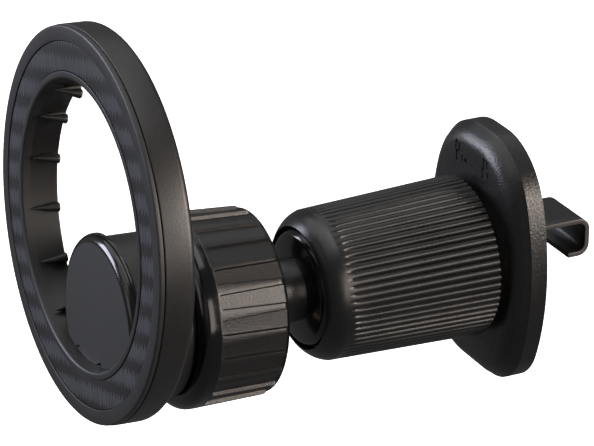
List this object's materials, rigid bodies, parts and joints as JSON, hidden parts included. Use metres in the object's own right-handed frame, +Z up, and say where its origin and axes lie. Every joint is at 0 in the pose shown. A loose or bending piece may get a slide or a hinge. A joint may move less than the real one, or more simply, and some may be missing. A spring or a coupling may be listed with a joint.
{
  "type": "car phone mount",
  "caption": "Magnetic ring head on a clamped ball joint, carried by a vent clip: a ribbed knob draws a bent steel hook towards an oval plate.",
  "frame": {"origin": "point where the knob's axis meets the back face of the vent pad", "axes": "+Y along the knob's axis, away from the driver and into the vent; +Z up, as the clip sits on a level vent blade; +X to the driver's right"},
  "size_m": [0.0604, 0.0857, 0.0656],
  "materials": {
    "satin_abs": "satin moulded ABS",
    "carbon_pad": "embossed carbon-weave pad",
    "magnet": "nickel-plated",
    "steel": "zinc-plated",
    "cap_abs": "matte face, polished edge",
    "acetal": "moulded acetal",
    "grained_abs": "fine-grained moulded ABS",
    "stud_nylon": "glass-filled nylon, polished ball",
    "gloss_abs": "gloss moulded ABS",
    "inner_abs": "moulded ABS",
    "knob_abs": "satin moulded ABS, ribbed",
    "brass": "turned",
    "zinc": "die cast",
    "coated_steel": "black coated spring steel",
    "pad_rubber": "moulded rubber"
  },
  "bodies": {
    "clip": {"vent_plate": "grained_abs", "vent_pad": "pad_rubber", "plate_screws": "steel", "core_tube": "inner_abs", "front_bush": "acetal", "rear_bush": "acetal", "thrust_washer": "steel", "ball_stud": "stud_nylon", "stud_flange": "gloss_abs", "stud_screw": "steel", "stud_washer": "steel"},
    "knob": {"knob_shell": "knob_abs", "thread_sleeve": "brass"},
    "hook": {"hook_strip": "coated_steel", "hook_carriage": "zinc", "hook_rivets": "steel"},
    "yaw_seat": {"rear_seat": "acetal"},
    "pitch_seat": {"front_seat": "acetal"},
    "head": {"head_housing": "satin_abs", "front_bezel": "satin_abs", "grip_pad": "carbon_pad", "ring_magnets": "magnet", "yoke_ring": "steel", "socket_cap": "cap_abs"},
    "nut_slide": {"clamp_washer": "acetal"},
    "nut": {"clamp_nut": "grained_abs"}
  },
  "joints": [
    {"name": "knob_turn", "type": "hinge", "parent": "clip", "child": "knob", "pos_m": [0, -0.02, 0], "axis": [0, 1, 0], "range_deg": [-180, 630]},
    {"name": "hook_travel", "type": "slide", "parent": "clip", "child": "hook", "axis": [0, 1, 0], "range_m": [-0.007, 0.002]},
    {"name": "ball_yaw", "type": "hinge", "parent": "clip", "child": "yaw_seat", "pos_m": [0, -0.0502, 0], "axis": [0, 0, 1], "range_deg": [-17, 17]},
    {"name": "ball_pitch", "type": "hinge", "parent": "yaw_seat", "child": "pitch_seat", "pos_m": [0, -0.0502, 0], "axis": [1, 0, 0], "range_deg": [-14, 20]},
    {"name": "ball_twist", "type": "hinge", "parent": "pitch_seat", "child": "head", "pos_m": [0, -0.0502, 0], "axis": [0, 0.9986, -0.0523], "continuous": true},
    {"name": "nut_travel", "type": "slide", "parent": "head", "child": "nut_slide", "axis": [0, 0.9986, -0.0523], "range_m": [0, 0.0005]},
    {"name": "nut_turn", "type": "hinge", "parent": "nut_slide", "child": "nut", "pos_m": [0, -0.0502, 0], "axis": [0, 0.9986, -0.0523], "range_deg": [0, 180]}
  ],
  "couplings": [
    {"joint": "hook_travel", "follows": "knob_turn", "m_per_rad": -0.00063662},
    {"joint": "nut_travel", "follows": "nut_turn", "m_per_rad": 0.00015915}
  ]
}
